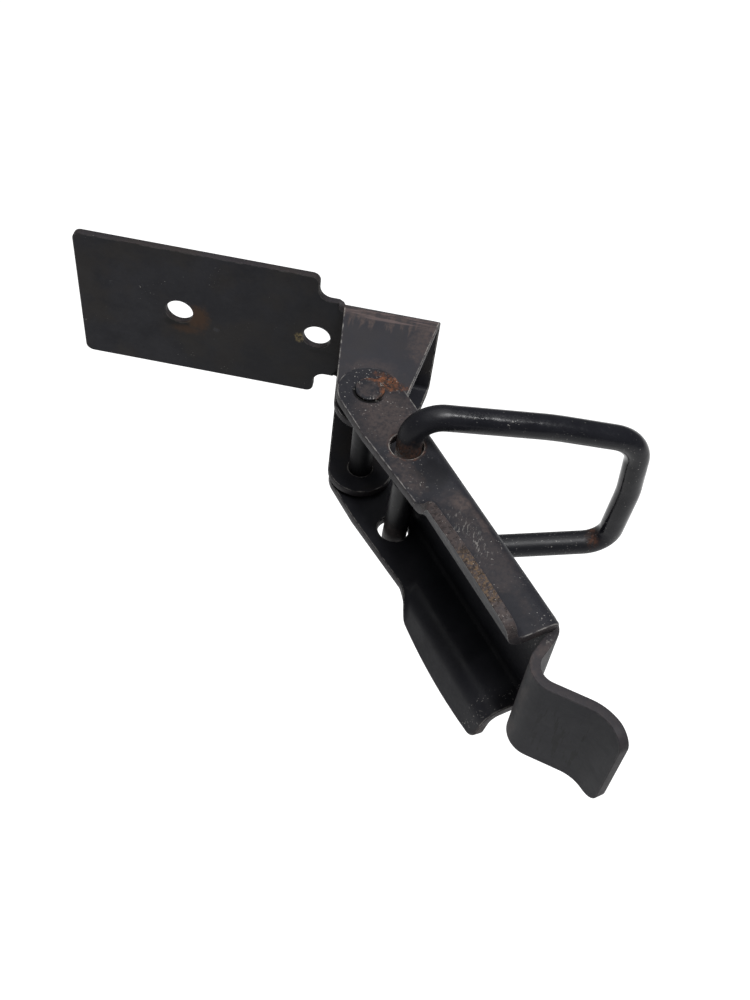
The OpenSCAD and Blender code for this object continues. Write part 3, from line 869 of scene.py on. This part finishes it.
def finish_rivet():
    """Peened head: grey rubbed face with fine chips, rust round its rim; the shank darkened with painted
    shade.
    """
    f = Finish("rivet_worn_black")
    f.coat(COAT, COAT_PALE, 0.5, 0.1)
    dx, dy = f.add(f.x, -PIVOT[0]), f.add(f.y, -PIVOT[1])
    around = f.radius(dx, dy)
    head = f.step(f.math("ABSOLUTE", f.z), LEVER_HALF, LEVER_HALF + 0.1)
    # painted shade: the shank between the flanges darkened towards black
    f.paint(f.mul(f.step(head, 0.5, 0.1), 0.6), BLACK, 0.5)
    f.rub(f.mul(head, f.step(f.noise(0.6, 4), 0.4, 0.6)), 0.5)
    f.rust(f.mul(head, f.step(f.add(around, f.mul(dx, 0.35), f.mul(dy, 0.35)), 2.2, 3.4)), 0.9)
    f.specks(f.mul(head, f.step(around, 1.2, 2.6)), 0.4, 0.63)
    return f.done(0.12, 0.016, 0.25)


def finish_bail():
    """Glossy black wire with chips in the gloss, a little rust at its corners, and painted shade where it
    runs between the lever's flanges.
    """
    f = Finish("bail_gloss_black")
    f.coat(WIRE_COAT, WIRE_COAT_PALE, 0.20, 0.08)
    f.specks(f.step(f.noise(0.3, 4, 0.6), 0.50, 0.62), 0.5, 0.68)
    f.paint(f.mul(f.step(f.z, -12, -15), 0.85), WIRE_COAT, 0.5)
    f.specks(f.step(f.z, -12, -15), 0.35, 0.66)
    f.rust(f.patch(f.x, f.z, 80.8, -14.6, 2.0, 1.8, 0.6), 0.4)
    # painted shade: the wire where it runs between the lever's flanges, darkened towards black
    channel_shade = f.mul(f.band(f.z, -LEVER_HALF, LEVER_HALF, 0.8), f.step(f.x, EYE[0] + 6, EYE[0] + 4))
    f.paint(f.mul(channel_shade, 0.55), BLACK, 0.5)
    hook = f.mul(f.step(f.x, EYE[0] + 9, EYE[0] + 4), f.step(f.z, LEVER_HALF - 1, LEVER_HALF))
    f.paint(f.mul(hook, 0.75), WIRE_COAT, 0.55)
    near = f.patch(f.x, f.z, EYE[0], 14, 4.5, 3.5, 0.5)
    f.rub(near, 0.8)
    f.rust(near, 0.5)
    f.rub(f.patch(f.x, f.z, EYE[0], -12, 4.5, 5, 0.5), 0.7)
    return f.done(0.17, 0.022, 0.20)


def floor_material():
    f = Finish("pale_floor")
    f.coat((0.52, 0.52, 0.52), (0.54, 0.54, 0.54), 0.8, 0.05)
    f.shader.inputs["Emission Color"].default_value = (1, 1, 1, 1)
    f.shader.inputs["Emission Strength"].default_value = FLOOR_GLOW
    return f.done(0.1, 0.01, 0.01)


# ---------------------------------------------------------------- the latch

base = make_base()
lever = make_lever()
rivet = make_rivet()
bail = make_bail()

FINISHES = [(base, finish_base), (lever, finish_lever), (rivet, finish_rivet), (bail, finish_bail)]
for piece, finish in FINISHES:
    piece.data.materials.append(finish())

PIECES = [(base, "base_plate", "base"), (lever, "lever", "lever"),
          (rivet, "pivot_rivet", "base"), (bail, "bail", "bail")]
for piece, node, body in PIECES:
    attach(piece, body)
    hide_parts(node)


# ---------------------------------------------------------------- floor, light and camera

def lamp(name, place, aim, size, watts):
    """Square soft light of the given size, turned to its aim."""
    data = bpy.data.lights.new(name, "AREA")
    data.shape = "SQUARE"
    data.size, data.energy = size, watts
    obj = bpy.data.objects.new(name, data)
    obj.matrix_world = Matrix.Translation(place) @ (
        Vector(aim) - Vector(place)).to_track_quat("-Z", "Y").to_matrix().to_4x4()
    bpy.context.scene.collection.objects.link(obj)


def studio():
    """Pale floor under the latch, one large soft lamp high on its free side and a wide one above."""
    low = float(np.array(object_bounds()[0])[2])
    bpy.ops.mesh.primitive_plane_add(size=6, location=(0, 0, low - FLOOR_DROP))
    floor = bpy.context.active_object
    floor.name = "floor"
    floor.data.materials.append(floor_material())
    floor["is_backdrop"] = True
    world = bpy.data.worlds.new("studio")
    world.use_nodes = True
    sky = world.node_tree.nodes["Background"]
    sky.inputs["Color"].default_value = (1, 1, 1, 1)
    sky.inputs["Strength"].default_value = SKY
    bpy.context.scene.world = world
    middle = (0.03, -0.04, 0)
    lamp("key", (0.30, -0.27, 0.95), middle, 0.32, 14)
    lamp("overhead", (-0.05, 0.15, 0.95), middle, 0.9, 7)


def camera():
    """Looks along azimuth and elevation from its distance to the aim, then rolls about that line."""
    azimuth, elevation, roll = (math.radians(a) for a in (3.56, 51.2, 8.13))
    aim, distance = Vector((0.0343, -0.0253, -0.0218)), 0.2639
    ahead = Vector((-math.sin(azimuth) * math.cos(elevation), math.cos(azimuth) * math.cos(elevation),
                    -math.sin(elevation)))
    right = ahead.cross(Vector((0, 0, 1))).normalized()
    up = right.cross(ahead)
    right, up = (right * math.cos(roll) + up * math.sin(roll), up * math.cos(roll) - right * math.sin(roll))
    data = bpy.data.cameras.new("camera")
    data.lens, data.sensor_width = 43.6, 36
    data.clip_start = 0.01
    obj = bpy.data.objects.new("camera", data)
    turn = Matrix((right, up, -ahead)).transposed().to_4x4()
    obj.matrix_world = Matrix.Translation(aim - ahead * distance) @ turn
    bpy.context.scene.collection.objects.link(obj)
    bpy.context.scene.camera = obj


studio()
camera()
bpy.context.scene.view_settings.view_transform = "Standard"
